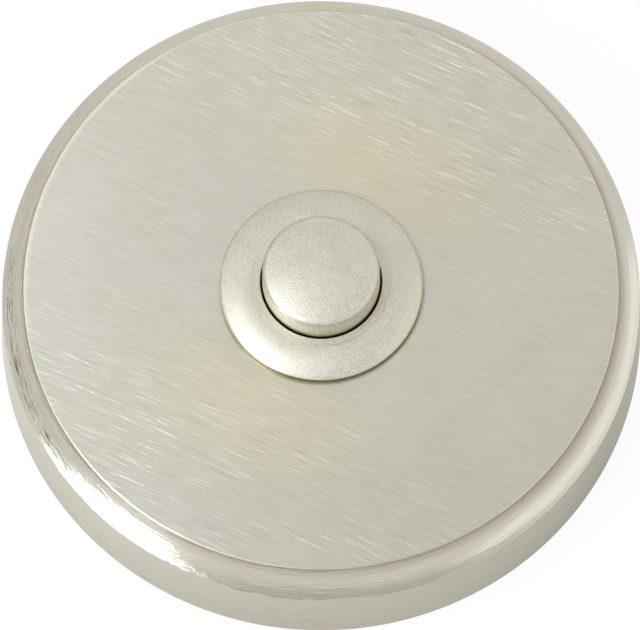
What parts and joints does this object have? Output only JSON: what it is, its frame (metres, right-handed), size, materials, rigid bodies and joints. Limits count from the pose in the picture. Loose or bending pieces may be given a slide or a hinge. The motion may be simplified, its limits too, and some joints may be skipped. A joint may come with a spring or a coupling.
{
  "type": "doorbell push button",
  "caption": "Round wall bell push: brushed cover with a coved edge, domed bezel and crowned button that springs back after closing its contacts.",
  "frame": {"origin": "centre of the back face, on the wall plane, on the button's axis", "axes": "+Z out of the wall along the button's axis; +X along the brushed grain, up when fixed to the wall with the set screw below; +Y to the left seen from the front"},
  "size_m": [0.0666, 0.0666, 0.0181],
  "materials": {
    "brushed_nickel": "satin nickel plate over forged brass, straight-brushed face and turned edge",
    "blasted_nickel": "satin nickel plate over turned brass, bead-blasted",
    "zinc_steel": "zinc-plated steel",
    "spring_steel": "drawn spring wire",
    "black_steel": "black oxide steel",
    "contact_brass": "bare brass",
    "phenolic": "dark moulded phenolic",
    "white_nylon": "natural moulded nylon",
    "black_rubber": "nitrile rubber"
  },
  "bodies": {
    "housing": {"cover": "brushed_nickel", "bezel": "blasted_nickel", "bezel_seal": "black_rubber", "lock_washer": "zinc_steel", "lock_nut": "zinc_steel", "terminal_base": "phenolic", "right_contact": "contact_brass", "left_contact": "contact_brass", "terminal_screws": "contact_brass", "terminal_washers": "contact_brass", "return_spring": "spring_steel", "mounting_plate": "zinc_steel", "set_screw": "black_steel"},
    "push_button": {"button": "blasted_nickel", "plunger": "white_nylon", "contact_disc": "contact_brass"}
  },
  "joints": [
    {"name": "button_press", "type": "slide", "parent": "housing", "child": "push_button", "axis": [0, 0, -1], "range_m": [0, 0.002], "stiffness_N_per_m": 600, "springref_m": -0.002, "deforming": ["return_spring"]}
  ]
}
